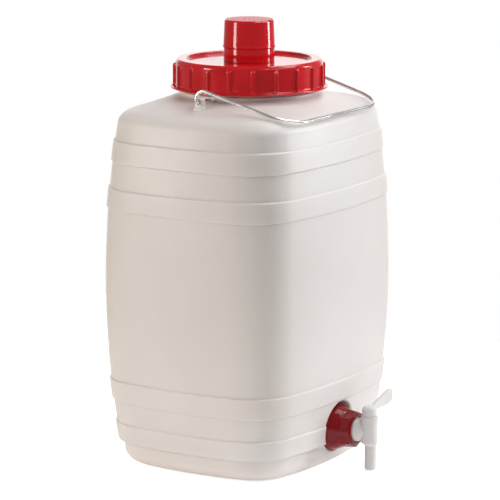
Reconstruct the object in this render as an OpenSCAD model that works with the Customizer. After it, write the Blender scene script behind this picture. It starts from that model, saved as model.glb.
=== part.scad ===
// Plastic fermenting bucket: a blow-moulded barrel with rounded-rectangle plan, a wide screw
// neck, a lid that carries an airlock, a wire bail and a drain tap held by a union nut.
// Origin: centre of the base on the standing plane. +Z is up, the tap points along -Y.

/* [Barrel] */
// Width of the barrel at its waist, side to side
barrel_w = 336.8; // [330:0.2:342]
// How much less the barrel measures front to back
depth_less = 60; // [56:1:64]
// Radius of the barrel's upright corners
corner_r = 62.6; // [56:0.2:66]
// Radius of each bowed side, as a multiple of the half-width that faces it
side_bow = 4.15; // [3.8:0.05:5]
// Height of the widest level
waist_z = 220; // [215:1:225]
// How far the raised hoops stand out
hoop_rise = 1.6; // [1:0.1:2]
// Wall thickness of the barrel
wall = 2.6; // [2.2:0.1:3]
// Thickness of the floor
floor_t = 5; // [4:0.5:6]

/* [Shoulder and neck] */
// Height where the sides start to turn in
shoulder_z = 416; // [414:0.5:418]
// Height of the neck's foot
neck_z = 447; // [446:0.5:448]
// Height of the sealing rim
rim_z = 484; // [483.6:0.1:484]
// Radius of the mouth
mouth_r = 75.5; // [75:0.1:75.6]
// Outer radius of the neck between its threads
neck_r = 80.5; // [80:0.1:80.8]

/* [Lid and airlock] */
// Outer radius of the lid's ribs
lid_r = 92.3; // [92:0.1:93]
// Number of grip ribs
rib_count = 20; // [16:1:24]
// Height of the lid's top rim
lid_top_z = 490; // [489.8:0.1:490.2]
// Outer radius of the airlock's cup
cup_r = 30.9; // [30.7:0.1:31.1]
// Height of the cap's top
cap_top_z = 537; // [536.5:0.1:538]

/* [Bail] */
// Diameter of the wire
wire_d = 4.1; // [3.8:0.1:4.2]
// Height of the hinge holes
hinge_z = 448.8; // [448.4:0.1:449.2]

/* [Tap] */
// Height of the tap's inlet axis
tap_z = 47.7; // [47:0.1:49]
// Distance of the tap's upright axis from the centre
tap_y = 170; // [169:0.5:172]
// Outer radius of the spout
spout_r = 7.1; // [6.9:0.05:7.2]
// Radius of the round recess that the tap stands in
recess_r = 31.9; // [31.8:0.1:32.5]

/* [Hidden] */
$fn = 96;

natural_plastic = [0.93, 0.92, 0.90];
red_plastic = [0.75, 0.07, 0.09];
rubber_grey = [0.25, 0.25, 0.26];
wire_steel = [0.75, 0.76, 0.78];

// ---- Barrel outline ----
side_n = 4;
corner_n = 5;
// How quickly the barrel narrows above and below its waist, per square millimetre
taper_above = 3.2e-4;
taper_below = 3.6e-4;
// Bottom and top edge of each raised hoop
hoops = [[31, 54.7], [82.6, 108.5], [317.6, 342], [373.5, 399]];
ledge_h = 2.4;
// The base band stands in a little, and its bottom edge is rounded more on the wide sides
base_inset = 3;
base_round_x = 32;
base_round_y = 18;
base_round_z = 20;
foot_corner_r = 34;
foot_bow = 2.8;
// The shoulder turns in along a quarter ellipse that stops short of level
shoulder_in = 25;
shoulder_up = 20;
shoulder_turn = 66;
neck_foot_r = 84;
collar_r = 83.5;
collar_h = 5;

function half_w(z) =
    barrel_w / 2 - (z > waist_z ? taper_above : taper_below) * pow(z - waist_z, 2);
function polar(c, r, t) = [c[0] + r * cos(t), c[1] + r * sin(t)];

// Rounded rectangle with bowed sides: half-sizes a and b, corner radius r, bow factor
function outline(a, b, r, bow) =
    let (ra = bow * b,
         rb = bow * a,
         ca = [a - ra, 0],
         cb = [0, b - rb],
         d = norm(cb - ca),
         u = (cb - ca) / d,
         t = (pow(ra - r, 2) - pow(rb - r, 2) + d * d) / (2 * d),
         h = sqrt(pow(ra - r, 2) - t * t),
         cc = ca + t * u + h * [-u[1], u[0]],
         f1 = atan2(cc[1] - ca[1], cc[0] - ca[0]),
         f2 = atan2(cc[1] - cb[1], cc[0] - cb[0]),
         quarter = concat(
             [for (j = [0:side_n - 1]) polar(ca, ra, f1 * j / side_n)],
             [for (j = [0:corner_n - 1]) polar(cc, r, f1 + (f2 - f1) * j / corner_n)],
             [for (j = [0:side_n]) polar(cb, rb, f2 + (90 - f2) * j / side_n)]),
         n = len(quarter) - 1)
    concat([for (j = [0:n - 1]) quarter[j]],
           [for (j = [n:-1:1]) [-quarter[j][0], quarter[j][1]]],
           [for (j = [0:n - 1]) -quarter[j]],
           [for (j = [n:-1:1]) [quarter[j][0], -quarter[j][1]]]);
function ring(flat, z) = [for (p = flat) [p[0], p[1], z]];
// Part way, t, from an outline to a circle of radius r
function towards_circle(flat, r, t) = [for (p = flat) p * (1 - t) + p / norm(p) * r * t];

function wall_ring(z, out, skin) =
    let (a = half_w(z) + out - skin)
    ring(outline(a, a - depth_less / 2, corner_r - skin, side_bow), z);
// Base edge: turn 0 is the flat foot, turn 90 the top of the rounding
function base_ring(turn, lift, skin) =
    let (k = 1 - sin(turn),
         a = half_w(base_round_z) - base_inset - skin)
    ring(outline(a - base_round_x * k, a - depth_less / 2 - base_round_y * k,
                 corner_r - skin - (corner_r - foot_corner_r) * k,
                 side_bow - (side_bow - foot_bow) * k),
         lift + base_round_z * (1 - cos(turn)));
function shoulder_flat(turn, skin) =
    let (k = shoulder_in * (1 - cos(turn)),
         a = half_w(shoulder_z) - k - skin)
    outline(a, a - depth_less / 2, corner_r - k - skin, side_bow);
function shoulder_ring(turn, skin) =
    ring(shoulder_flat(turn, skin), shoulder_z + (shoulder_up - skin) * sin(turn));
function slope_ring(t, r, top, skin) =
    let (low = shoulder_z + (shoulder_up - skin) * sin(shoulder_turn))
    ring(towards_circle(shoulder_flat(shoulder_turn, skin), r, t), low + (top - low) * t);
function hoop_rings(lo, hi) = [
    wall_ring(lo - ledge_h / 2, 0, 0),
    wall_ring(lo + ledge_h / 2, hoop_rise, 0),
    wall_ring(hi - ledge_h / 2, hoop_rise, 0),
    wall_ring(hi + ledge_h / 2, 0, 0)];

outer_rings = concat(
    [for (turn = [0, 25, 48, 70]) base_ring(turn, 0, 0)],
    [base_ring(90, 0, 0)],
    [wall_ring(hoops[0][0] - ledge_h / 2, -base_inset, 0)],
    [for (k = [1:3]) hoop_rings(hoops[0][0], hoops[0][1])[k]],
    hoop_rings(hoops[1][0], hoops[1][1]),
    [for (z = [145:35:285]) wall_ring(z, 0, 0)],
    hoop_rings(hoops[2][0], hoops[2][1]),
    hoop_rings(hoops[3][0], hoops[3][1]),
    [for (turn = [0, 17, 34, 50, shoulder_turn]) shoulder_ring(turn, 0)],
    [for (t = [0.5, 1]) slope_ring(t, neck_foot_r, neck_z, 0)]);
inner_rings = concat(
    [slope_ring(1, mouth_r + 0.8, neck_z - wall - 0.8, wall)],
    [for (turn = [shoulder_turn, 34, 0]) shoulder_ring(turn, wall)],
    [for (z = [370:-60:70]) wall_ring(z, 0, wall)],
    [for (turn = [90, 48, 0]) base_ring(turn, floor_t, wall)]);

// Closed skin through a stack of rings that all have the same number of points
module skin(rings) {
    n = len(rings[0]);
    last = len(rings) - 1;
    polyhedron(
        points = [for (r = rings, p = r) p],
        faces = concat(
            [[for (j = [0:n - 1]) j]],
            [for (i = [0:last - 1], j = [0:n - 1])
                [i * n + j, (i + 1) * n + j, (i + 1) * n + (j + 1) % n, i * n + (j + 1) % n]],
            [[for (j = [n - 1:-1:0]) last * n + j]]));
}

module ring_solid(r_in, r_out, z_low, z_high) {
    rotate_extrude()
        polygon([[r_in, z_low], [r_out, z_low], [r_out, z_high], [r_in, z_high]]);
}
module thread_ridge(r_root, r_crest, z, h) {
    rotate_extrude()
        polygon([[r_root, z - h / 2], [r_crest, z - h / 8], [r_crest, z + h / 8], [r_root, z + h / 2]]);
}
// Lays a shape that was drawn upright so that its +Z points forwards, along -Y, at the tap
module along_tap() {
    translate([0, 0, tap_z])
        rotate([90, 0, 0])
            children();
}

// ---- Ears and outlet of the vessel ----
ear_x = 111;
ear_t = 9;
ear_w = 10.8;
ear_foot_z = 438.5;
hinge_hole_r = 2.7;
recess_floor_y = 120.2;
recess_mouth_y = 150;
outlet_face_y = 145;
outlet_r = 16.6;
outlet_bore_r = 12.6;
outlet_thread_r = 17.7;
outlet_thread_y = [136.5, 141];
outlet_thread_h = 2.5;
// The pinch-off seam leaves a shallow notch in the foot at the middle of each narrow end
notch_w = 30;
notch_h = 2.5;
notch_x = [75, 170];
thread_z = [460, 467, 474];
neck_thread_r = 83.4;
thread_h = 4;

module ear() {
    translate([ear_x - ear_t / 2, 0, 0])
        difference() {
            union() {
                translate([0, -ear_w / 2, ear_foot_z])
                    cube([ear_t, ear_w, hinge_z - ear_foot_z]);
                translate([0, 0, hinge_z])
                    rotate([0, 90, 0])
                        cylinder(h = ear_t, r = ear_w / 2);
            }
            translate([-1, 0, hinge_z])
                rotate([0, 90, 0])
                    cylinder(h = ear_t + 2, r = hinge_hole_r);
        }
}

// The barrel's shell, with the recess walled on the inside and cut from the outside
module shell() {
    difference() {
        union() {
            skin(concat(outer_rings, inner_rings));
            intersection() {
                skin(outer_rings);
                along_tap()
                    translate([0, 0, recess_floor_y - wall])
                        cylinder(h = recess_mouth_y - recess_floor_y, r = recess_r + wall);
            }
        }
        along_tap()
            translate([0, 0, recess_floor_y])
                cylinder(h = recess_mouth_y - recess_floor_y, r = recess_r);
    }
}

module vessel() {
    color(natural_plastic)
        difference() {
            union() {
                shell();
                ring_solid(mouth_r, collar_r, neck_z - 2, neck_z + collar_h);
                ring_solid(mouth_r, neck_r, neck_z, rim_z);
                for (z = thread_z)
                    thread_ridge(neck_r - 0.5, neck_thread_r, z, thread_h);
                ear();
                mirror([1, 0, 0])
                    ear();
                along_tap() {
                    translate([0, 0, recess_floor_y - 1])
                        cylinder(h = outlet_face_y - recess_floor_y + 1, r = outlet_r);
                    for (y = outlet_thread_y)
                        thread_ridge(outlet_r - 0.5, outlet_thread_r, y, outlet_thread_h);
                }
            }
            along_tap()
                translate([0, 0, recess_floor_y - 8])
                    cylinder(h = outlet_face_y - recess_floor_y + 9, r = outlet_bore_r);
            for (side = [0, 1])
                mirror([side, 0, 0])
                    translate([notch_x[0], -notch_w / 2, -1])
                        cube([notch_x[1] - notch_x[0], notch_w, notch_h + 1]);
        }
}

// ---- Lid ----
lid_skirt_z = 455.4;
flange_r = 95.6;
flange_t = 1.8;
panel_z = 486.4;
panel_r = 74;
rib_top_z = 484.6;
valley_r = 89.4;
rib_w = 4;
rib_turn = 16.3;
lid_wall = 3;
lid_bore_r = 86.2;
lid_thread_r = 84;
lid_thread_z = [463.5, 470.5, 477.5];
lid_thread_h = 3;
plug_hole_r = 18;
// The shoulder between the ribs and the top rim, and the inner edge of that rim
lid_cone = [[87.6, 488.6], [86.2, lid_top_z]];
lid_rim_in = [[76.2, lid_top_z], [panel_r, 488.8]];

module lid() {
    color(red_plastic) {
        rotate_extrude()
            polygon(concat([
                [plug_hole_r, panel_z - lid_wall],
                [mouth_r - 1, panel_z - lid_wall],
                [mouth_r - 1, lid_top_z - lid_wall],
                [lid_bore_r, lid_top_z - lid_wall],
                [lid_bore_r, lid_skirt_z],
                [flange_r, lid_skirt_z],
                [flange_r, lid_skirt_z + flange_t],
                [valley_r, lid_skirt_z + flange_t + 1.4],
                [valley_r, rib_top_z]],
                lid_cone,
                lid_rim_in,
                [[panel_r, panel_z], [plug_hole_r, panel_z]]));
        for (k = [0:rib_count - 1])
            rotate([0, 0, rib_turn + k * 360 / rib_count])
                translate([valley_r - 1, -rib_w / 2, lid_skirt_z + 1])
                    cube([lid_r - valley_r + 1, rib_w, rib_top_z - lid_skirt_z - 1]);
        for (z = lid_thread_z)
            thread_ridge(lid_bore_r + 0.5, lid_thread_r, z, lid_thread_h);
    }
}

gasket_r = [75.6, 85.6];
module lid_gasket() {
    color(rubber_grey)
        ring_solid(gasket_r[0], gasket_r[1], rim_z, lid_top_z - lid_wall);
}

// ---- Airlock: grommet, cup with chimney, floating bell and outer cap ----
stem_r = 14;
stem_bore_r = 6;
stem_low_z = 474;
seal_flange_r = 22;
seal_flange_t = 1.6;
cup_floor_z = [panel_z + seal_flange_t, 490];
ledge_z = 503.2;
cup_upper_r = 26;
cup_bore_r = 24;
cup_rim_z = 526;
chimney_r = 9;
chimney_top_z = 518;
bell_r = [14.6, 16];
bell_top_z = [525, 526.6];
bell_slot_w = 4;
bell_slot_h = 5;
cap_skirt_r = 31.4;
cap_flare_r = 32.1;
cap_shoulder_r = 30;
cap_wall = 1.6;
cap_vent_r = 1;
cap_vent_rings = [6, 12, 18];
vents_per_ring = 6;

module airlock_seal() {
    color(rubber_grey)
        rotate_extrude()
            polygon([
                [stem_r, panel_z - lid_wall - 1.5],
                [seal_flange_r - 2, panel_z - lid_wall - 1.5],
                [seal_flange_r - 2, panel_z - lid_wall],
                [plug_hole_r, panel_z - lid_wall],
                [plug_hole_r, panel_z],
                [seal_flange_r, panel_z],
                [seal_flange_r, panel_z + seal_flange_t],
                [stem_r, panel_z + seal_flange_t]]);
}

module airlock_body() {
    color(red_plastic)
        rotate_extrude()
            polygon([
                [stem_bore_r, stem_low_z],
                [stem_r - 1.5, stem_low_z],
                [stem_r, stem_low_z + 4],
                [stem_r, cup_floor_z[0]],
                [cup_r - 4, cup_floor_z[0]],
                [cup_r - 4, panel_z],
                [cup_r, panel_z],
                [cup_r, ledge_z],
                [cup_upper_r + 0.8, ledge_z],
                [cup_upper_r, cup_rim_z],
                [cup_bore_r, cup_rim_z],
                [cup_bore_r, cup_floor_z[1]],
                [chimney_r, cup_floor_z[1]],
                [chimney_r - 0.8, chimney_top_z],
                [stem_bore_r, chimney_top_z]]);
}

module airlock_bell() {
    color(natural_plastic)
        difference() {
            rotate_extrude()
                polygon([
                    [bell_r[0], cup_floor_z[1]],
                    [bell_r[1], cup_floor_z[1]],
                    [bell_r[1] - 0.6, bell_top_z[1]],
                    [0, bell_top_z[1]],
                    [0, bell_top_z[0]],
                    [bell_r[0] - 0.6, bell_top_z[0]]]);
            for (turn = [0, 90])
                rotate([0, 0, turn])
                    translate([-20, -bell_slot_w / 2, cup_floor_z[1] - 1])
                        cube([40, bell_slot_w, bell_slot_h + 1]);
        }
}

module airlock_cap() {
    color(red_plastic)
        difference() {
            rotate_extrude()
                polygon([
                    [cap_skirt_r - 2.2, ledge_z],
                    [cap_flare_r, ledge_z],
                    [cap_flare_r, ledge_z + 1.6],
                    [cap_skirt_r, ledge_z + 3],
                    [cap_shoulder_r + 0.1, cap_top_z - 1.6],
                    [cap_shoulder_r - 1.2, cap_top_z],
                    [0, cap_top_z],
                    [0, cap_top_z - cap_wall],
                    [cap_shoulder_r - cap_wall - 0.6, cap_top_z - cap_wall]]);
            for (ring_r = cap_vent_rings, k = [0:vents_per_ring - 1])
                rotate([0, 0, k * 360 / vents_per_ring + ring_r * 5])
                    translate([ring_r, 0, cap_top_z - 3])
                        cylinder(h = 4, r = cap_vent_r, $fn = 24);
        }
}

// ---- Bail ----
wire_r = wire_d / 2;
pin_r = wire_r - 0.15;
tail_x = 89;
arm_x = 118.5;
bail_corner = [112, -125, 431];
// The wire leans back above the hinge before it turns forwards
hook_top = [arm_x, 6.5, 468];
hook_turn_r = 3;
hook_r = 10;
bail_turn_r = 40;
wire_sides = 12;

function unit(v) = v / norm(v);
// Arc of radius r that rounds the corner p, between the points before and after it
function fillet(before, p, after, r, steps) =
    let (u = unit(before - p),
         v = unit(after - p),
         half = acos(u * v) / 2,
         c = p + unit(u + v) * r / sin(half),
         from = unit(p + u * r / tan(half) - c),
         to = unit(p + v * r / tan(half) - c),
         span = 180 - 2 * half,
         side = unit(to - from * cos(span)))
    [for (k = [0:steps]) c + r * (cos(span * k / steps) * from + sin(span * k / steps) * side)];
bail_start = [arm_x - hook_turn_r - 3, 0, hinge_z];
bail_half = concat(
    [bail_start],
    fillet([tail_x, 0, hinge_z], [arm_x, 0, hinge_z], hook_top, hook_turn_r, 5),
    fillet([arm_x, 0, hinge_z], hook_top, bail_corner, hook_r, 7),
    fillet(hook_top, bail_corner, [0, bail_corner[1], bail_corner[2]], bail_turn_r, 9));
bail_path = concat(bail_half,
                   [for (k = [len(bail_half) - 1:-1:0])
                       [-bail_half[k][0], bail_half[k][1], bail_half[k][2]]]);

// Round wire swept along a path; aside is never parallel to any stretch of the path
module wire(path, r, aside) {
    last = len(path) - 1;
    rings = [for (k = [0:last])
        let (way = unit(path[min(k + 1, last)] - path[max(k - 1, 0)]),
             a = unit(cross(way, aside)),
             b = cross(way, a))
        [for (s = [0:wire_sides - 1])
            path[k] + r * (cos(360 * s / wire_sides) * a + sin(360 * s / wire_sides) * b)]];
    skin(rings);
}

module bail() {
    color(wire_steel) {
        wire(bail_path, wire_r, [1, 1, -1]);
        for (side = [0, 1])
            mirror([side, 0, 0])
                translate([tail_x, 0, hinge_z])
                    rotate([0, 90, 0])
                        cylinder(h = bail_start[0] + 1.5 - tail_x, r = pin_r);
    }
}

// ---- Tap ----
tap_gasket_t = 2;
tap_flange_r = 17.2;
tap_flange_t = 2.5;
nut_y = [121, 153.6];
// Corners of the eight-sided nut at its back and at its front
nut_r = [25.4, 22.2];
nut_flange_r = 30.6;
nut_flange_t = 1.8;
// The flare that runs from the flange into the eight sides
nut_flare = [[28, 127], [24, 135.5]];
nut_bore_r = 18.8;
nut_thread_r = 18;
nut_thread_y = [138.75, 143.25];
nut_thread_h = 1.6;
nut_opening_r = 15.4;
inlet_r = 14.4;
inlet_bore_r = 7;
housing_r = 10.2;
housing_z = [33, 67];
// The spout stands a little in front of the plug's axis
spout_y = tap_y + 1.5;
spout_bore_r = 4.5;
spout_low_z = 0.8;
spout_top_z = 30;
plug_r = 7.4;
plug_clear = 0.06;
plug_low_z = 37;
plug_port_r = 4.4;
hub_r = 9;
hub_z = [67.05, 77];
lever_t = 5;
lever_tip_x = 54;
flange_face_y = outlet_face_y + tap_gasket_t;
lever_side = [[0, 71.6], [44, 71.6], [50, 73.5], [lever_tip_x, 77], [lever_tip_x, 86.5], [49, 91],
              [42, 90], [8, 78.6], [0, 78.6]];

module tap_gasket() {
    color(rubber_grey)
        along_tap()
            ring_solid(outlet_bore_r, tap_flange_r, outlet_face_y, flange_face_y);
}

module union_nut() {
    color(red_plastic)
        along_tap() {
            difference() {
                union() {
                    rotate_extrude()
                        polygon(concat([
                            [nut_bore_r, nut_y[0]],
                            [nut_flange_r, nut_y[0]],
                            [nut_flange_r, nut_y[0] + nut_flange_t]],
                            nut_flare,
                            [[nut_bore_r, nut_flare[1][1]]]));
                    translate([0, 0, nut_y[0]])
                        cylinder(h = nut_y[1] - nut_y[0], r1 = nut_r[0], r2 = nut_r[1], $fn = 8);
                }
                translate([0, 0, nut_y[0] - 1])
                    cylinder(h = flange_face_y + tap_flange_t + 0.1 - nut_y[0] + 1, r = nut_bore_r);
                translate([0, 0, nut_y[0]])
                    cylinder(h = nut_y[1] - nut_y[0] + 1, r = nut_opening_r);
            }
            for (y = nut_thread_y)
                thread_ridge(nut_bore_r + 0.5, nut_thread_r, y, nut_thread_h);
        }
}

module tap_body() {
    color(natural_plastic)
        difference() {
            union() {
                along_tap() {
                    translate([0, 0, flange_face_y])
                        cylinder(h = tap_flange_t, r = tap_flange_r);
                    translate([0, 0, flange_face_y])
                        cylinder(h = 8, r = inlet_r);
                    translate([0, 0, flange_face_y + 8])
                        cylinder(h = tap_y - flange_face_y - 8, r1 = inlet_r, r2 = 9);
                }
                translate([0, -tap_y, housing_z[0]])
                    cylinder(h = housing_z[1] - housing_z[0], r = housing_r);
                translate([0, -spout_y, spout_low_z]) {
                    cylinder(h = spout_top_z - spout_low_z, r = spout_r);
                    translate([0, 0, spout_top_z - spout_low_z])
                        cylinder(h = housing_z[0] - spout_top_z, r1 = spout_r, r2 = spout_r + 1.4);
                }
            }
            along_tap()
                translate([0, 0, flange_face_y - 1])
                    cylinder(h = tap_y - flange_face_y, r = inlet_bore_r);
            translate([0, -tap_y, plug_low_z - 1])
                cylinder(h = housing_z[1] - plug_low_z + 2, r = plug_r + plug_clear);
            translate([0, -spout_y, spout_low_z - 1])
                cylinder(h = plug_low_z - spout_low_z + 1, r = spout_bore_r);
        }
}

module tap_plug() {
    color(natural_plastic)
        translate([0, -tap_y, 0])
            difference() {
                union() {
                    translate([0, 0, plug_low_z])
                        cylinder(h = hub_z[0] - plug_low_z + 1, r = plug_r);
                    translate([0, 0, hub_z[0]])
                        cylinder(h = hub_z[1] - hub_z[0], r = hub_r);
                    translate([0, 0, hub_z[1]])
                        cylinder(h = 2, r1 = hub_r, r2 = hub_r - 3);
                    translate([0, lever_t / 2, 0])
                        rotate([90, 0, 0])
                            linear_extrude(height = lever_t)
                                polygon(lever_side);
                }
                translate([0, 0, plug_low_z - 1])
                    cylinder(h = tap_z - plug_low_z + 1, r = plug_port_r);
                translate([0, 0, tap_z])
                    rotate([0, -90, 0])
                        cylinder(h = plug_r + 3, r = plug_port_r);
            }
}

vessel();
lid();
lid_gasket();
airlock_seal();
airlock_body();
airlock_bell();
airlock_cap();
bail();
tap_gasket();
union_nut();
tap_body();
tap_plug();
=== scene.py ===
"""Plastic fermenting bucket: the looks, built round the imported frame. Meshes are worked out in
millimetres and scaled to metres as they are made. +Z is up and the tap points along -Y."""
import math
from collections import namedtuple

import bmesh
import bpy
from mathutils import Matrix, Vector


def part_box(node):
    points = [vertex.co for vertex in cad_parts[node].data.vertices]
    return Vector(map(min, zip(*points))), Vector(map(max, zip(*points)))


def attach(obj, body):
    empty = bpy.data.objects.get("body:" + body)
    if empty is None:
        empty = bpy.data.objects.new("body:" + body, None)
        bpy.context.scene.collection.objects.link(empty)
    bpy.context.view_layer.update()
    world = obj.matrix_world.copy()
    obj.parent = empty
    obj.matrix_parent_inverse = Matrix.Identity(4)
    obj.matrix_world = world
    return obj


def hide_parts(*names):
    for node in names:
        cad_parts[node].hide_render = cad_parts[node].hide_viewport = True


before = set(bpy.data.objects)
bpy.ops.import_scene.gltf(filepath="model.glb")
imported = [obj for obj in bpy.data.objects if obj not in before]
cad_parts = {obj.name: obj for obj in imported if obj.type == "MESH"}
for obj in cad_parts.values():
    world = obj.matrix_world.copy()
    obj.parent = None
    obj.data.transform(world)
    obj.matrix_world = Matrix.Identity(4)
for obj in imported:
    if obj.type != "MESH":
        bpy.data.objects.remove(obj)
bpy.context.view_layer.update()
MM = 0.001


def extent(node):
    """Lowest and highest corner of a CAD node, in millimetres."""
    low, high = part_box(node)
    return low / MM, high / MM


vessel_high = extent("vessel")[1]
lid_low, lid_high = extent("lid")
cup_low, cup_high = extent("airlock_body")
cap_low, cap_high = extent("airlock_cap")
nut_low, nut_high = extent("union_nut")
body_low = extent("tap_body")[0]
plug_low = extent("tap_plug")[0]

# ---------------------------------------------------------------- mesh tools


def clean(mesh, gap=1e-6):
    """Merges doubled points and turns the faces outwards."""
    edit = bmesh.new()
    edit.from_mesh(mesh)
    bmesh.ops.remove_doubles(edit, verts=edit.verts, dist=gap)
    bmesh.ops.dissolve_degenerate(edit, edges=edit.edges, dist=gap)
    bmesh.ops.recalc_face_normals(edit, faces=edit.faces)
    edit.to_mesh(mesh)
    edit.free()


def shade(obj, sharp_deg=32):
    obj.data.shade_smooth()
    obj.data.set_sharp_from_angle(angle=math.radians(sharp_deg))


def make(name, points, faces):
    mesh = bpy.data.meshes.new(name)
    mesh.from_pydata([Vector(p) * MM for p in points], [], faces)
    clean(mesh)
    obj = bpy.data.objects.new(name, mesh)
    bpy.context.scene.collection.objects.link(obj)
    return obj


def bands(rings, n, closed):
    """Quads between rings of n points; closed joins the last ring back to the first."""
    count = len(rings) if closed else len(rings) - 1
    return [(i * n + j, i * n + (j + 1) % n,
             (i + 1) % len(rings) * n + (j + 1) % n, (i + 1) % len(rings) * n + j)
            for i in range(count) for j in range(n)]


def skin(name, rings, closed=False):
    """A closed surface through rings of equal length, capped unless it is a closed loop."""
    n = len(rings[0])
    faces = bands(rings, n, closed)
    if not closed:
        last = (len(rings) - 1) * n
        faces += [tuple(reversed(range(n))), tuple(range(last, last + n))]
    return make(name, [p for ring in rings for p in ring], faces)


def rounded(corners, radius, steps=6):
    """Closed outline with each corner rounded; a corner may hold its own radius as a third value."""
    out = []
    for k, corner in enumerate(corners):
        here = Vector(corner[:2])
        before = Vector(corners[k - 1][:2]) - here
        after = Vector(corners[(k + 1) % len(corners)][:2]) - here
        r = corner[2] if len(corner) > 2 else radius
        half = before.angle(after) / 2
        reach = min(r / math.tan(half), 0.49 * before.length, 0.49 * after.length)
        if r <= 0 or half > 1.5:
            out.append(here)
            continue
        u, v = before.normalized(), after.normalized()
        r = reach * math.tan(half)
        centre = here + (u + v).normalized() * r / math.sin(half)
        start, end = here + u * reach - centre, here + v * reach - centre
        turn = start.angle_signed(end)
        for s in range(steps + 1):
            out.append(centre + Matrix.Rotation(-turn * s / steps, 2) @ start)
    return out


def lathe(name, corners, radius=0.5, columns=144, steps=6):
    """A solid of revolution about Z from a closed (radius, height) outline."""
    outline_points = rounded(corners, radius, steps)
    rings = [[(p.x * math.cos(2 * math.pi * j / columns), p.x * math.sin(2 * math.pi * j / columns),
               p.y) for j in range(columns)] for p in outline_points]
    return skin(name, rings, closed=True)


def apply_modifiers(obj):
    bpy.context.view_layer.update()
    evaluated = obj.evaluated_get(bpy.context.evaluated_depsgraph_get())
    mesh = bpy.data.meshes.new_from_object(evaluated)
    obj.modifiers.clear()
    obj.data = mesh


def join(objs):
    """One object that holds the meshes of several."""
    edit = bmesh.new()
    for o in objs:
        edit.from_mesh(o.data)
    edit.to_mesh(objs[0].data)
    edit.free()
    for o in objs[1:]:
        bpy.data.objects.remove(o)
    return objs[0]


def combine(obj, operation, *tools):
    """Boolean of obj with tools, which don't touch each other and are used up."""
    tool = join(list(tools))
    modifier = obj.modifiers.new("combine", "BOOLEAN")
    modifier.operation = operation
    modifier.solver = "EXACT"
    modifier.object = tool
    apply_modifiers(obj)
    bpy.data.objects.remove(tool)
    clean(obj.data)


def melt(obj, voxel, smoothing):
    """Runs overlapping solids into one moulding with small fillets."""
    remesh = obj.modifiers.new("remesh", "REMESH")
    remesh.mode = "VOXEL"
    remesh.voxel_size = voxel * MM
    smooth = obj.modifiers.new("smooth", "SMOOTH")
    smooth.factor = 0.5
    smooth.iterations = smoothing
    apply_modifiers(obj)
    clean(obj.data)


def place(obj, matrix):
    obj.data.transform(matrix)
    return obj


def smooth_step(t):
    t = min(1.0, max(0.0, t))
    return t * t * (3 - 2 * t)


def spread(start, end, count):
    return [start + (end - start) * k / (count - 1) for k in range(count)]


def constant(value):
    """A function that gives the same value at every place."""
    return lambda _: value


# A helical ridge: height of its start, rise of each turn, turns, width at its foot, and how much of
# a turn it takes to run out at its ends and of its half-width to reach its crest
Thread = namedtuple("Thread", "start pitch turns width runout flank")


def thread_rise(thread, angle, height):
    """1 on the crest of a helical ridge and 0 off it."""
    turn = (angle / (2 * math.pi)) % 1
    rise = 0.0
    for k in range(-1, 4):
        along = turn + k
        if 0 <= along <= thread.turns:
            ends = (smooth_step(along / thread.runout)
                    * smooth_step((thread.turns - along) / thread.runout))
            off = abs(height - thread.start - thread.pitch * along) / (thread.width / 2)
            rise = max(rise, ends * smooth_step((1 - off) / thread.flank))
    return rise


# ---------------------------------------------------------------- materials


class Shader:
    """A material with a Principled shader and a few calls that add procedural detail to it."""

    def __init__(self, name, roughness, **constants):
        self.material = bpy.data.materials.new(name)
        self.material.use_nodes = True
        self.nodes = self.material.node_tree.nodes
        self.links = self.material.node_tree.links
        self.shader = self.nodes["Principled BSDF"]
        self.where = self.nodes.new("ShaderNodeTexCoord").outputs["Object"]
        self.shader.inputs["Roughness"].default_value = roughness
        for socket, value in constants.items():
            self.shader.inputs[socket.replace("_", " ")].default_value = value
        self.bump_end = None

    def node(self, kind, **inputs):
        made = self.nodes.new(kind)
        for socket, value in inputs.items():
            self.feed(made.inputs[socket.replace("_", " ")], value)
        return made

    def feed(self, socket, value):
        if isinstance(value, bpy.types.NodeSocket):
            self.links.new(value, socket)
        else:
            socket.default_value = value

    def noise(self, scale, stretch=(1, 1, 1), detail=3.0, rough=0.55):
        """Noise in the object's own metres; stretch below 1 draws it out along that axis."""
        mapping = self.node("ShaderNodeMapping", Vector=self.where, Scale=stretch)
        return self.node("ShaderNodeTexNoise", Vector=mapping.outputs["Vector"], Scale=scale,
                         Detail=detail, Roughness=rough).outputs["Fac"]

    def spots(self, scale, stretch=(1, 1, 1)):
        mapping = self.node("ShaderNodeMapping", Vector=self.where, Scale=stretch)
        return self.node("ShaderNodeTexVoronoi", Vector=mapping.outputs["Vector"],
                         Scale=scale).outputs["Distance"]

    def remap(self, value, low, high, to_low, to_high):
        made = self.node("ShaderNodeMapRange", Value=value)
        made.inputs["From Min"].default_value = low
        made.inputs["From Max"].default_value = high
        made.inputs["To Min"].default_value = to_low
        made.inputs["To Max"].default_value = to_high
        return made.outputs["Result"]

    def mix(self, share, first, second):
        made = self.nodes.new("ShaderNodeMix")
        made.data_type = "RGBA"
        self.feed(made.inputs["Factor"], share)
        for socket, value in ((made.inputs[6], first), (made.inputs[7], second)):
            self.feed(socket, value if isinstance(value, bpy.types.NodeSocket) else (*value, 1))
        return made.outputs[2]

    def attribute(self, name):
        made = self.nodes.new("ShaderNodeAttribute")
        made.attribute_name = name
        return made.outputs["Fac"]

    def colour(self, value):
        self.feed(self.shader.inputs["Base Color"], value)

    def roughness(self, value):
        self.feed(self.shader.inputs["Roughness"], value)

    def bump(self, height, distance, strength=1.0):
        made = self.node("ShaderNodeBump", Height=height, Distance=distance, Strength=strength)
        if self.bump_end is not None:
            self.links.new(self.bump_end, made.inputs["Normal"])
        self.bump_end = made.outputs["Normal"]
        self.feed(self.shader.inputs["Normal"], self.bump_end)


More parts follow.
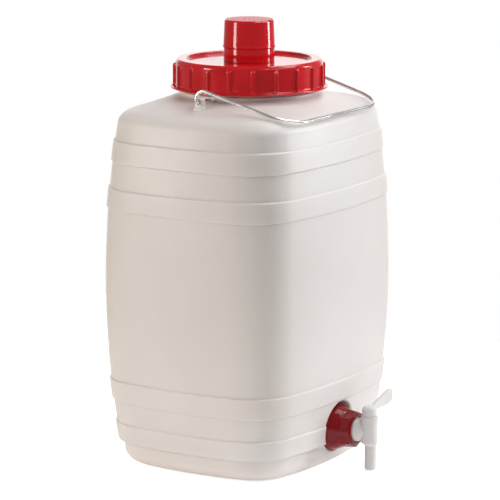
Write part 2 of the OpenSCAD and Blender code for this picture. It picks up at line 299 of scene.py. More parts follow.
def natural_plastic(name, tone, deep, radius_mm):
    """Unpigmented polyethylene: milky, cloudy where the wall varies, with a satin skin, and painted
    shade along the barrel's upright corners.
    """
    m = Shader(name, 0.4, Subsurface_Weight=0.55, Subsurface_Scale=1.0, IOR=1.5)
    m.shader.inputs["Subsurface Radius"].default_value = [radius_mm * k * MM for k in (1, 0.92, 0.84)]
    cloud = m.remap(m.noise(7, detail=2), 0.3, 0.7, 0, 1)
    flow = m.remap(m.noise(26, (1, 1, 0.12)), 0.3, 0.7, 0, 1)
    base = m.mix(cloud, tone, deep)
    base = m.mix(m.remap(flow, 0, 1, 0, 0.35), base, [0.97 * c for c in tone])
    # Painted shade: the upright corners are darkened and warmed where the mesh marks them, standing in
    # for the shade that falls there.
    corner_shade = m.attribute("corner_shade")
    base = m.mix(m.remap(corner_shade, 0, 1, 0, 0.5), base, (deep[0] * 0.93, deep[1] * 0.89, deep[2] * 0.85))
    m.colour(base)
    m.roughness(m.remap(m.noise(60), 0.3, 0.7, 0.33, 0.47))
    m.bump(m.noise(38, (1, 1, 0.6), detail=2), 0.35 * MM, 0.35)
    m.bump(m.noise(900, detail=2), 0.03 * MM, 0.5)
    return m.material


def red_plastic(name, bright, dark, gloss=0.17, grain=0.02, coat=0.8):
    """Injection-moulded coloured plastic with a polished skin."""
    m = Shader(name, gloss, Coat_Weight=coat, Coat_Roughness=0.05, IOR=1.5, Specular_IOR_Level=0.1,
               Subsurface_Weight=0.06, Subsurface_Scale=0.002)
    cloud = m.remap(m.noise(22, detail=2), 0.3, 0.7, 0, 1)
    m.colour(m.mix(cloud, bright, dark))
    m.roughness(m.remap(m.noise(140), 0.3, 0.7, gloss - 0.04, gloss + 0.07))
    m.bump(m.noise(70, detail=1), 0.12 * MM, 0.3)
    m.bump(m.noise(1500, detail=2), grain * MM, 0.4)
    return m.material


def stippled_plastic(name, bright, dark):
    """The fine spark-eroded grain of the cap's top."""
    m = Shader(name, 0.3, IOR=1.5)
    grain = m.spots(900)
    m.colour(m.mix(m.remap(grain, 0.1, 0.7, 0, 1), dark, bright))
    m.roughness(m.remap(m.noise(300), 0.3, 0.7, 0.24, 0.36))
    m.bump(grain, 0.2 * MM, 0.5)
    return m.material


def steel_wire(name):
    """Bright galvanised wire with faint drawing lines along it."""
    m = Shader(name, 0.2, Metallic=1.0)
    lines = m.remap(m.noise(240, (0.1, 0.25, 1), detail=1), 0.3, 0.7, 0, 1)
    cloud = m.remap(m.noise(120, detail=3), 0.35, 0.65, 0, 1)
    m.colour(m.mix(cloud, (0.90, 0.89, 0.87), (0.80, 0.79, 0.78)))
    m.roughness(m.remap(lines, 0, 1, 0.2, 0.28))
    m.bump(lines, 0.01 * MM, 0.3)
    return m.material


def rubber(name, tone):
    m = Shader(name, 0.7, IOR=1.5)
    speck = m.remap(m.noise(700, detail=4), 0.35, 0.65, 0, 1)
    m.colour(m.mix(speck, tone, [c * 0.6 for c in tone]))
    m.roughness(m.remap(m.noise(90), 0.3, 0.7, 0.6, 0.8))
    m.bump(m.noise(600, detail=3), 0.06 * MM, 0.6)
    return m.material


def clear_plastic(name):
    m = Shader(name, 0.08, Transmission_Weight=0.85, IOR=1.49)
    haze = m.remap(m.noise(80), 0.3, 0.7, 0, 1)
    m.colour(m.mix(haze, (0.93, 0.94, 0.94), (0.86, 0.88, 0.88)))
    m.roughness(m.remap(haze, 0, 1, 0.06, 0.16))
    m.bump(m.noise(400, detail=2), 0.03 * MM, 0.4)
    return m.material


def dress(obj, material, body, slot, *nodes):
    """Gives a new piece its material and its body, and hides the CAD nodes it stands for; slot is not
    used.
    """
    if not obj.data.materials:
        obj.data.materials.append(material)
    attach(obj, body)
    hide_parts(*nodes)
    return obj


# ---------------------------------------------------------------- barrel

DEPTH_LESS = 60
CORNER_R = 62.6
SIDE_BOW = 4.15
WAIST_Z = 220
TAPER_ABOVE = 3.2e-4
TAPER_BELOW = 3.6e-4
HOOPS = [(31, 54.7), (82.6, 108.5), (317.6, 342), (373.5, 399)]
HOOP_RISE = 1.6
LEDGE_H = 2.2
BASE_INSET = 3
BASE_ROUND = (32, 18, 20)
FOOT_CORNER_R = 34
FOOT_BOW = 2.8
WALL = 2.6
FLOOR_T = 5
SHOULDER_Z = 416
SHOULDER_IN = 25
SHOULDER_UP = 20
SHOULDER_TURN = math.radians(66)
NECK_Z = 447
NECK_FOOT_R = 83.8
COLLAR_TOP_Z = 452
NECK_R = 80.5
MOUTH_R = 75.5
NECK_CREST_R = 83.4
NECK_THREAD = Thread(458.5, 7, 2.3, 4, 0.12, 0.6)
NECK_LOW_Z = 454
MOUTH_ROWS = (470, 458, 450)
RIM_ROUND = 1
RIM_Z = vessel_high.z
# Share of the foot's outline and height: the floor arches up inside the rim that it stands on
FOOT_ARCH = [(0.05, 2.5), (0.4, 2.5), (0.84, 2.5), (0.86, 2.3), (0.875, 1.4), (0.885, 0.5),
             (0.90, 0.0), (0.96, 0.0)]
# Radius and height of the collar below the neck's thread
COLLAR = [(83.7, 451.2), (83.4, 451.8), (82.8, COLLAR_TOP_Z), (81.4, COLLAR_TOP_Z), (80.9, 452.2),
          (80.6, 452.8)]
NECK_FILLET_OUT = 3.6
NECK_FILLET_IN = 3.4
SLOPE_ROWS = 9
WAIST_HALF = vessel_high.x
SIDE_POINTS = 16
CORNER_POINTS = 20


def half_width(z):
    return WAIST_HALF - (TAPER_ABOVE if z > WAIST_Z else TAPER_BELOW) * (z - WAIST_Z) ** 2


def outline(a, b, r, bow):
    """Rounded rectangle with bowed sides: half-sizes a and b, corner radius r, bow factor."""
    ra, rb = bow * b, bow * a
    ca, cb = Vector((a - ra, 0)), Vector((0, b - rb))
    d = (cb - ca).length
    u = (cb - ca) / d
    t = ((ra - r) ** 2 - (rb - r) ** 2 + d * d) / (2 * d)
    h = math.sqrt((ra - r) ** 2 - t * t)
    cc = ca + t * u + h * Vector((-u.y, u.x))
    f1 = math.atan2(cc.y - ca.y, cc.x - ca.x)
    f2 = math.atan2(cc.y - cb.y, cc.x - cb.x)
    stretches = ((ca, ra, 0, f1, SIDE_POINTS), (cc, r, f1, f2, CORNER_POINTS),
                 (cb, rb, f2, math.pi / 2, SIDE_POINTS))
    quarter = [c + Vector((math.cos(g), math.sin(g))) * radius
               for c, radius, start, end, count in stretches
               for g in spread(start, end, count + 1)[:-1]]
    quarter.append(Vector((0, b)))
    n = len(quarter) - 1
    left = [Vector((-p.x, p.y)) for p in quarter]
    return (quarter[:n] + [left[j] for j in range(n, 0, -1)] + [-quarter[j] for j in range(n)]
            + [Vector((quarter[j].x, -quarter[j].y)) for j in range(n, 0, -1)])


def level(flat, z):
    return [Vector((p.x, p.y, z)) for p in flat]


def hoop_out(z):
    """How far the wall stands out at a height: raised on the hoops, set in at the base band."""
    out = 0.0
    for low, high in HOOPS:
        rise = smooth_step((z - low) / LEDGE_H + 0.5) * smooth_step((high - z) / LEDGE_H + 0.5)
        out = max(out, HOOP_RISE * rise)
    base = 1 - smooth_step((z - HOOPS[0][0]) / LEDGE_H + 0.5)
    return out - BASE_INSET * base


def wall_ring(z, skin_depth):
    a = half_width(z) + hoop_out(z) - skin_depth
    return level(outline(a, a - DEPTH_LESS / 2, CORNER_R - skin_depth, SIDE_BOW), z)


def base_flat(turn, skin_depth):
    k = 1 - math.sin(turn)
    a = half_width(BASE_ROUND[2]) - BASE_INSET - skin_depth
    return outline(a - BASE_ROUND[0] * k, a - DEPTH_LESS / 2 - BASE_ROUND[1] * k,
                   CORNER_R - skin_depth - (CORNER_R - FOOT_CORNER_R) * k,
                   SIDE_BOW - (SIDE_BOW - FOOT_BOW) * k)


def base_ring(turn, lift, skin_depth):
    return level(base_flat(turn, skin_depth), lift + BASE_ROUND[2] * (1 - math.cos(turn)))


def shoulder_flat(turn, skin_depth):
    k = SHOULDER_IN * (1 - math.cos(turn))
    a = half_width(SHOULDER_Z) - k - skin_depth
    return outline(a, a - DEPTH_LESS / 2, CORNER_R - k - skin_depth, SIDE_BOW)


def shoulder_ring(turn, skin_depth):
    z = SHOULDER_Z + (SHOULDER_UP - skin_depth) * math.sin(turn)
    return level(shoulder_flat(turn, skin_depth), z)


def slope_point(p, radius, t, low, top):
    flat = p * (1 - t) + p.normalized() * radius * t
    return Vector((flat.x, flat.y, low + (top - low) * t))


def slope_rings(radius, top, skin_depth, turn_up):
    """From the shoulder's last ring straight to the neck, then a fillet up to the vertical."""
    low = SHOULDER_Z + (SHOULDER_UP - skin_depth) * math.sin(SHOULDER_TURN)
    flat = shoulder_flat(SHOULDER_TURN, skin_depth)
    rings = []
    for t in spread(0, 1, SLOPE_ROWS)[1:]:
        ring = []
        for p in flat:
            # The fillet starts sooner at the front and back, where the slope is short
            blend_from = 0.93 - 0.2 * abs(p.normalized().y) ** 3
            ring.append(slope_point(p, radius, t * blend_from, low, top))
        rings.append(ring)
    slope_end = rings[-1]
    for s in spread(0, 1, SLOPE_ROWS)[1:]:
        ring = []
        for p, start in zip(flat, slope_end):
            foot = slope_point(p, radius, 1, low, top)
            up = foot + Vector((0, 0, turn_up))
            ring.append(start * (1 - s) ** 2 + foot * 2 * s * (1 - s) + up * s * s)
        rings.append(ring)
    return rings


def circle_ring(flat, radius_at, z):
    """A round ring whose points keep the directions of the barrel's outline."""
    ring = []
    for p in flat:
        way = p.normalized()
        r = radius_at(math.atan2(way.y, way.x))
        ring.append(Vector((way.x * r, way.y * r, z)))
    return ring


def wall_heights():
    """Heights of the wall's rows, close together at the hoops' ledges."""
    edges = [z for hoop in HOOPS for z in hoop]
    rows = set()
    for edge in edges:
        rows.update(round(edge + LEDGE_H * k / 12, 3) for k in range(-8, 9))
    gaps = [BASE_ROUND[2]] + edges + [SHOULDER_Z]
    for low, high in zip(gaps, gaps[1:]):
        rows.update(spread(low + 1.6, high - 1.6, max(3, int((high - low) / 6))))
    return sorted(rows)


def vessel_shell():
    foot = base_flat(0, 0)
    quarter = math.pi / 2
    rings = [level([p * k for p in foot], z) for k, z in FOOT_ARCH]
    rings += [base_ring(turn, 0, 0) for turn in spread(0, quarter, 15)]
    rings += [wall_ring(z, 0) for z in wall_heights()]
    rings += [shoulder_ring(turn, 0) for turn in spread(0, SHOULDER_TURN, 14)]
    rings += slope_rings(NECK_FOOT_R, NECK_Z, 0, NECK_FILLET_OUT)
    round_flat = shoulder_flat(SHOULDER_TURN, 0)
    rings += [circle_ring(round_flat, constant(r), z) for r, z in COLLAR]
    crest = NECK_CREST_R - NECK_R
    for z in spread(NECK_LOW_Z, RIM_Z - 1.4, 58):
        rings.append(circle_ring(
            round_flat, lambda g, z=z: NECK_R + crest * thread_rise(NECK_THREAD, g, z), z))
    for middle_r, start in ((NECK_R - RIM_ROUND, 0), (MOUTH_R + RIM_ROUND, quarter)):
        for turn in spread(start, start + quarter, 5):
            rings.append(circle_ring(round_flat, constant(middle_r + RIM_ROUND * math.cos(turn)),
                                     RIM_Z - RIM_ROUND + RIM_ROUND * math.sin(turn)))
    rings += [circle_ring(round_flat, constant(MOUTH_R), z) for z in MOUTH_ROWS]
    inner = slope_rings(MOUTH_R + 0.4, NECK_Z - WALL - 0.8, WALL, NECK_FILLET_IN)
    rings += list(reversed(inner))
    rings += [shoulder_ring(turn, WALL) for turn in spread(SHOULDER_TURN, 0, 8)]
    rings += [wall_ring(z, WALL) for z in reversed(wall_heights()) if 27 < z < SHOULDER_Z - 8]
    rings += [base_ring(turn, FLOOR_T, WALL) for turn in spread(quarter, 0, 8)]
    inside_foot = base_flat(0, WALL)
    rings += [level([p * k for p in inside_foot], FLOOR_T) for k in (0.7, 0.35, 0.05)]
    return skin("barrel", rings)


EAR_X = 111
EAR_T = 9
EAR_R = 5.4
HINGE_Z = 448.8
HINGE_HOLE_R = 2.7
EAR_FOOT_Z = 438.5
EAR_SKIN_Z = 441.2
EAR_FLARE = 2.6
EAR_FLARE_FADE = 1.8
EAR_EDGE = 0.9
EAR_SQUARENESS = 0.6
EAR_COLUMNS = 48


def ear(side):
    """A lug that grows out of the shoulder with a flared foot and a round top."""
    rings = []
    heights = spread(EAR_FOOT_Z, HINGE_Z, 16) + [HINGE_Z + EAR_R * math.sin(g)
                                                 for g in spread(0, math.pi / 2, 14)[1:-1]]
    for z in heights:
        flare = EAR_FLARE * math.exp(-max(0, z - EAR_SKIN_Z) / EAR_FLARE_FADE)
        above = max(0.0, z - HINGE_Z)
        wide = math.sqrt(EAR_R ** 2 - above ** 2) + flare
        edge = EAR_EDGE * math.sqrt(max(0.0, 1 - (above / EAR_R) ** 4))
        thick = EAR_T / 2 - EAR_EDGE + edge + flare
        ring = []
        for j in range(EAR_COLUMNS):
            g = 2 * math.pi * j / EAR_COLUMNS
            c, s = math.cos(g), math.sin(g)
            ring.append((side * EAR_X + thick * math.copysign(abs(c) ** EAR_SQUARENESS, c),
                         wide * math.copysign(abs(s) ** EAR_SQUARENESS, s), z))
        rings.append(ring)
    return skin("ear", rings)


TAP_AXIS_Z = 47.7
OUTLET_R = 16.6
OUTLET_CREST_R = 17.7
OUTLET_BORE_R = 12.6
OUTLET_FACE_Y = 145
OUTLET_THREAD_Y = (136.5, 141)
RECESS_R = 31.9
RECESS_FLOOR_Y = 120.2
RECESS_LIP = 2.4
CUTTER_END_Y = 160
# Turns a shape drawn upright so that its +Z points forwards, along -Y, at the tap's height
ALONG_TAP = Matrix.Translation((0, 0, TAP_AXIS_Z * MM)) @ Matrix.Rotation(math.pi / 2, 4, "X")


def front_at(x, z):
    """How far the barrel's front stands from the middle plane at a point beside the tap."""
    if z < BASE_ROUND[2]:
        k = 1 - math.sin(math.acos(max(-1.0, 1 - z / BASE_ROUND[2])))
        a = half_width(BASE_ROUND[2]) - BASE_INSET - BASE_ROUND[0] * k
        b = half_width(BASE_ROUND[2]) - BASE_INSET - DEPTH_LESS / 2 - BASE_ROUND[1] * k
        radius = (SIDE_BOW - (SIDE_BOW - FOOT_BOW) * k) * a
    else:
        a = half_width(z) + hoop_out(z)
        b = a - DEPTH_LESS / 2
        radius = SIDE_BOW * a
    return b - radius + math.sqrt(radius ** 2 - x ** 2)


def around_tap(name, stations, columns=144):
    """Closed shape about the tap's inlet axis from (radius, depth from a function of the front)."""
    rings = []
    for radius, depth_at in stations:
        ring = []
        for j in range(columns):
            g = 2 * math.pi * j / columns
            x, z = radius * math.cos(g), radius * math.sin(g)
            front = front_at(x, max(0.5, z + TAP_AXIS_Z))
            ring.append((x, z, depth_at(front)))
        rings.append(ring)
    return place(skin(name, rings), ALONG_TAP)


def recess_backing():
    """Solid behind the recess, which the recess is cut from; it ends inside the barrel's wall."""
    radius = RECESS_R + WALL
    back = RECESS_FLOOR_Y - WALL
    return around_tap("backing", [(0.5, constant(back)), (radius - 2, constant(back)),
                                  (radius - 0.6, constant(back + 0.5)),
                                  (radius, constant(back + 1.6)),
                                  (radius, lambda f: max(back + 1.8, f - 0.9)),
                                  (0.5, lambda f: max(back + 1.8, f - 0.9))])


def recess_cutter():
    """Round recess with a small fillet at its floor and a rolled lip that follows the front."""
    floor = RECESS_FLOOR_Y
    stations = [(0.5, constant(floor)), (RECESS_R - 1.6, constant(floor)),
                (RECESS_R - 0.5, constant(floor + 0.4)), (RECESS_R, constant(floor + 1.5))]
    for turn in spread(0, math.radians(78), 7):
        stations.append((RECESS_R + RECESS_LIP * (1 - math.cos(turn)),
                         lambda f, turn=turn: max(floor + 1.6, f - RECESS_LIP * (1 - math.sin(turn)))))
    edge = RECESS_R + RECESS_LIP * 0.9
    stations += [(edge, lambda f: max(floor, f) + 2), (edge, constant(CUTTER_END_Y)),
                 (0.5, constant(CUTTER_END_Y))]
    return around_tap("recess", stations)


def outlet():
    foot = RECESS_FLOOR_Y
    corners = [(10, foot - 1.2, 0), (OUTLET_R + 2.2, foot - 1.2, 0),
               (OUTLET_R + 1.4, foot + 0.3, 0.6), (OUTLET_R, foot + 2.4, 1.2)]
    for y in OUTLET_THREAD_Y:
        corners += [(OUTLET_R, y - 1.3, 0.3), (OUTLET_CREST_R, y - 0.4, 0.3),
                    (OUTLET_CREST_R, y + 0.4, 0.3), (OUTLET_R, y + 1.3, 0.3)]
    corners += [(OUTLET_R, OUTLET_FACE_Y, 0.8), (10, OUTLET_FACE_Y, 0)]
    return place(lathe("outlet", corners, 0.4, 96), ALONG_TAP)


def hole(radius, low, high, matrix):
    return place(lathe("hole", [(0, low, 0), (radius, low, 0), (radius, high, 0), (0, high, 0)],
                       0, 64), matrix)


NOTCH_X = (75, 172)
NOTCH_HALF = 15
NOTCH_H = 2.6


def foot_notch(side):
    """Shallow arch under the middle of a narrow end, where the mould pinches the parison off."""
    rings = []
    for x in NOTCH_X:
        rings.append([(side * x, NOTCH_HALF * math.cos(g), NOTCH_H * max(-0.6, math.sin(g)))
                      for g in spread(0, 2 * math.pi, 49)[:-1]])
    return skin("notch", rings)


def mark_corner_shade(obj):
    """Vertex attribute: 1 along the upright corners, where the milky material paints a darker, warmer
    shade.
    """
    attribute = obj.data.attributes.new("corner_shade", "FLOAT", "POINT")
    middle = math.atan2(WAIST_HALF - DEPTH_LESS / 2 - 30, WAIST_HALF - 30)
    for vertex, value in zip(obj.data.vertices, attribute.data):
        x, y, z = vertex.co / MM
        off = abs(math.atan2(abs(y), abs(x)) - middle) / 0.24
        upright = smooth_step((z - 20) / 90) * smooth_step((430 - z) / 50)
        value.value = math.exp(-off * off) * upright


def build_vessel(material):
    barrel = vessel_shell()
    combine(barrel, "UNION", ear(-1), ear(1), recess_backing())
    combine(barrel, "DIFFERENCE", recess_cutter())
    combine(barrel, "UNION", outlet())
    across = Matrix.Translation((0, 0, HINGE_Z * MM)) @ Matrix.Rotation(math.pi / 2, 4, "Y")
    combine(barrel, "DIFFERENCE",
            hole(HINGE_HOLE_R, 104, 120, across), hole(HINGE_HOLE_R, -120, -104, across),
            hole(OUTLET_BORE_R, RECESS_FLOOR_Y - 8, OUTLET_FACE_Y + 2, ALONG_TAP),
            foot_notch(-1), foot_notch(1))
    # Marks where the material paints shade along the upright corners.
    mark_corner_shade(barrel)
    shade(barrel, 40)
    return dress(barrel, material, "vessel", "natural_plastic", "vessel")


# ---------------------------------------------------------------- lid and airlock

RIBS = 20
RIB_TURN = math.radians(16.3)
RIB_R = 92.3
RIB_TOP_Z = 484.6
VALLEY_R = 89.4
RIB_HALF = 1.9
PANEL_R = 74
PANEL_Z = 486.4
PANEL_T = 3
BORE_R = 86.2
PLUG_HOLE_R = 18
LID_UNDER_Z = lid_high.z - 3
LID_SHOULDER_Z = 486.4
LID_EDGE_Z = 488.9
LID_CREST_R = 84
LID_THREAD = NECK_THREAD._replace(start=462, width=3)
UPRIGHT_STEP = 0.7
FLAT_STEP = 9
RIB_END = 2.6


def rib_rise(u):
    """Cross-section of a grip rib: rounded crest, filleted foot; u is the distance from its middle."""
    return 1 / (1 + (abs(u) / RIB_HALF) ** 7)


def lid_columns():
    """Angles of the lid's columns with the distance of each from the nearest rib's middle."""
    half_pitch = math.pi * VALLEY_R / RIBS
    steps = [0, 0.5, 0.9, 1.25, 1.55, 1.85, 2.15, 2.5, 3.0, 3.8, 5.2, 7.5, 10.5]
    offsets = [-s for s in reversed(steps[1:])] + steps + [half_pitch]
    return [(RIB_TURN + k * 2 * math.pi / RIBS + u / VALLEY_R, u)
            for k in range(RIBS) for u in offsets]


def lid_profile():
    """Half of the lid's cross-section as (radius, height), from the flange over the rim to the panel."""
    low, top, flange_r = lid_low.z, lid_high.z, lid_high.x
    return rounded([
        (BORE_R, low, 0.5), (flange_r, low, 0.7), (flange_r, low + 1.8, 0.8),
        (VALLEY_R, low + 2.4, 1.6), (VALLEY_R, LID_SHOULDER_Z, 2.2), (87.6, LID_EDGE_Z, 1.4),
        (86.4, top, 1.2), (76.0, top, 1.0), (75.2, LID_EDGE_Z, 0.8), (PANEL_R, PANEL_Z, 1.4),
        (PLUG_HOLE_R, PANEL_Z, 0.5), (PLUG_HOLE_R, PANEL_Z - PANEL_T, 0.4),
        (PANEL_R + 0.5, PANEL_Z - PANEL_T, 0.8), (PANEL_R + 0.5, LID_UNDER_Z, 0.8),
        (BORE_R, LID_UNDER_Z, 1.0)], 0.5, 7)


def with_rows(profile):
    """Adds points along straight stretches, close together on the upright ones for ribs and thread."""
    dense = []
    for k, p in enumerate(profile):
        after = profile[(k + 1) % len(profile)]
        dense.append(p)
        upright = abs(after.y - p.y) > 10
        count = int((after - p).length / (UPRIGHT_STEP if upright else FLAT_STEP))
        dense += [p.lerp(after, s / (count + 1)) for s in range(1, count + 1)]
    return dense


def lid_radius(p, angle, u):
    """Radius of the lid at a point of its profile, with the ribs outside and the thread inside."""
    low = lid_low.z
    r = p.x
    if VALLEY_R - 3.4 < p.x < VALLEY_R + 2 and low + 1.2 < p.y < RIB_TOP_Z:
        end = max(0.0, (p.y - RIB_TOP_Z + RIB_END) / RIB_END)
        r = max(r, p.x + (RIB_R - VALLEY_R) * rib_rise(u) * math.sqrt(max(0.0, 1 - end ** 2)))
    if abs(p.x - BORE_R) < 0.05 and low + 3 < p.y < LID_UNDER_Z - 2:
        r -= (BORE_R - LID_CREST_R) * thread_rise(LID_THREAD, angle, p.y)
    return r


def build_lid(material):
    columns = lid_columns()
    rings = []
    for p in with_rows(lid_profile()):
        ring = []
        for angle, u in columns:
            r = lid_radius(p, angle, u)
            ring.append((r * math.cos(angle), r * math.sin(angle), p.y))
        rings.append(ring)
    lid = skin("screw_lid", rings, closed=True)
    shade(lid, 40)
    return dress(lid, material, "lid", "red_plastic", "lid")


CUP_R = 30.9
STEM_R = 14
STEM_BORE_R = 6
CHIMNEY_R = 9
CHIMNEY_TOP_Z = 518
CUP_FOOT_Z = 488
CUP_FLOOR_Z = 490
CUP_FOOT_RIM = 4
CUP_RIM_R = 26
CUP_INNER_R = 24


def build_airlock_cup(material):
    ledge_z = cap_low.z
    rim_z = cup_high.z
    cup = lathe("airlock_cup", [
        (STEM_BORE_R, cup_low.z, 0.3), (STEM_R - 1.5, cup_low.z, 0.4), (STEM_R, cup_low.z + 4, 0.6),
        (STEM_R, CUP_FOOT_Z, 0.3), (CUP_R - CUP_FOOT_RIM, CUP_FOOT_Z, 0.3),
        (CUP_R - CUP_FOOT_RIM, PANEL_Z, 0.3), (CUP_R, PANEL_Z, 0.5), (CUP_R, ledge_z, 0.6),
        (CUP_RIM_R + 0.8, ledge_z, 0.5), (CUP_RIM_R, rim_z, 0.6), (CUP_INNER_R, rim_z, 0.6),
        (CUP_INNER_R, CUP_FLOOR_Z, 1.5), (CHIMNEY_R, CUP_FLOOR_Z, 1.5),
        (CHIMNEY_R - 0.8, CHIMNEY_TOP_Z, 0.6), (STEM_BORE_R, CHIMNEY_TOP_Z, 0.6)], 0.5, 160)
    shade(cup)
    return dress(cup, material, "lid", "red_plastic", "airlock_body")


VENT_R = 1.0
VENT_RINGS = (6, 12, 18)
VENTS_PER_RING = 6
CAP_WALL = 1.6
CAP_FLARE_R = 32.1
CAP_SHOULDER_R = 30.1
CAP_TOP_R = 28.6
CAP_BORE_R = (29.6, 27.8)


def build_airlock_cap(material, stipple):
    low = cap_low.z
    top = cap_high.z
    cap = lathe("airlock_outer_cap", [
        (CAP_BORE_R[0], low, 0.4), (31.7, low, 0.5), (CAP_FLARE_R, low + 1.2, 0.6),
        (31.4, low + 3.4, 2.4), (CAP_SHOULDER_R, top - 1.7, 1.5), (CAP_TOP_R, top, 1.6),
        (0, top, 0), (0, top - CAP_WALL, 0), (CAP_BORE_R[1], top - CAP_WALL, 0.8)], 0.5, 160, 8)
    vents = []
    for ring_r in VENT_RINGS:
        for k in range(VENTS_PER_RING):
            g = math.radians(k * 360 / VENTS_PER_RING + ring_r * 5)
            where = Matrix.Translation((ring_r * math.cos(g) * MM, ring_r * math.sin(g) * MM, 0))
            vents.append(hole(VENT_R, top - 3, top + 1, where))
    combine(cap, "DIFFERENCE", *vents)
    cap.data.materials.append(material)
    cap.data.materials.append(stipple)
    for face in cap.data.polygons:
        if face.center.z > (top - 0.3) * MM and face.normal.z > 0.9:
            face.material_index = 1
    shade(cap)
    return dress(cap, material, "cap", "red_plastic", "airlock_cap")


# ---------------------------------------------------------------- bail

TAIL_X = 89
ARM_X = 118.5
BAIL_CORNER = Vector((112, -125, 431))
HOOK_TOP = Vector((ARM_X, 6.5, 468))
TURN_BEND_R = 3
HOOK_BEND_R = 10
GRIP_BEND_R = 40
WIRE_R = 2.05
WIRE_SIDES = 28


def fillet(before, corner, after, radius, steps):
    """Arc that rounds a corner between the points before and after it."""
    u, v = (before - corner).normalized(), (after - corner).normalized()
    half = u.angle(v) / 2
    centre = corner + (u + v).normalized() * radius / math.sin(half)
    start = (corner + u * radius / math.tan(half) - centre).normalized()
    end = (corner + v * radius / math.tan(half) - centre).normalized()
    span = start.angle(end)
    across = (end - start * math.cos(span)).normalized()
    return [centre + radius * (math.cos(span * k / steps) * start
                               + math.sin(span * k / steps) * across) for k in range(steps + 1)]


def sweep(name, path, radius, sides):
    """Round wire along a path, its sides carried along without twisting, its ends rounded off."""
    way = (path[1] - path[0]).normalized()
    side = way.orthogonal().normalized()
    rings = []
    for k, p in enumerate(path):
        ahead = path[min(k + 1, len(path) - 1)] - path[max(k - 1, 0)]
        turn = way.rotation_difference(ahead.normalized())
        way, side = ahead.normalized(), turn @ side
        up = way.cross(side)
        rings.append([p + radius * (math.cos(g) * side + math.sin(g) * up)
                      for g in (2 * math.pi * j / sides for j in range(sides))])

    def end_cap(ring, p, out):
        return [[p + (q - p) * k + out * radius * rise for q in ring]
                for k, rise in ((0.93, 0.12), (0.72, 0.24))]
    first = end_cap(rings[0], path[0], (path[0] - path[1]).normalized())
    last = end_cap(rings[-1], path[-1], (path[-1] - path[-2]).normalized())
    return skin(name, list(reversed(first)) + rings + last)


def build_bail(material):
    tail = Vector((TAIL_X + 0.5, 0, HINGE_Z))
    turn = Vector((ARM_X, 0, HINGE_Z))
    middle = Vector((0, BAIL_CORNER.y, BAIL_CORNER.z))
    half = [tail, tail.lerp(turn, 0.3), tail.lerp(turn, 0.6)]
    half += fillet(tail, turn, HOOK_TOP, TURN_BEND_R, 12)
    half += fillet(turn, HOOK_TOP, BAIL_CORNER, HOOK_BEND_R, 18)
    half += fillet(HOOK_TOP, BAIL_CORNER, middle, GRIP_BEND_R, 24)
    path = half + [Vector((-p.x, p.y, p.z)) for p in reversed(half)]
    bail = sweep("bail_wire", path, WIRE_R, WIRE_SIDES)
    shade(bail, 50)
    return dress(bail, material, "bail", "wire", "bail")


# ---------------------------------------------------------------- tap

NUT_FLANGE_R = 30.6
NUT_BORE_R = 18.8
NUT_OPENING_R = 15.4
NUT_COLLAR_R = 18.6
# Radius of the nut's corners at its back and front, and of the round flare that runs into them
NUT_CORNER_R = (25.4, 22.2)
NUT_FLARE = [(2.0, 29.6), (2.8, 28.9), (4.0, 28.3), (6.0, 27.7), (8.0, 26.8), (10.0, 25.9),
             (12.0, 24.9), (14.5, 23.8), (18, 22)]
NUT_HOLLOW = 1.3
NUT_THREAD = Thread(137.8, 4.5, 2, 1.6, 0.1, 0.7)
NUT_THREAD_H = 0.8
NUT_COLUMNS = 320
FLANGE_FACE_Y = OUTLET_FACE_Y + 2
FLANGE_ROOM = 2.6


def nut_radius(angle, vertex_r, face_in):
    """Eight-sided outline with a fine ridge on each corner; face_in hollows each face."""
    eighth = math.pi / 4
    off = abs((angle + eighth / 2) % eighth - eighth / 2)
    from_face = eighth / 2 - off
    flat = vertex_r * math.cos(eighth / 2) / math.cos(from_face)
    ridge = smooth_step((0.075 - off) / 0.05)
    hollow = face_in * (0.6 + 0.4 * smooth_step(off / (eighth / 2))) * (1 - ridge)
    return min(flat, vertex_r - 0.25) - hollow


def flare_radius(depth):
    """Radius of the flare at a distance in front of the nut's back."""
    for (near, r_near), (far, r_far) in zip(NUT_FLARE, NUT_FLARE[1:]):
        if near <= depth <= far:
            return r_near + (r_far - r_near) * (depth - near) / (far - near)
    return 0.0


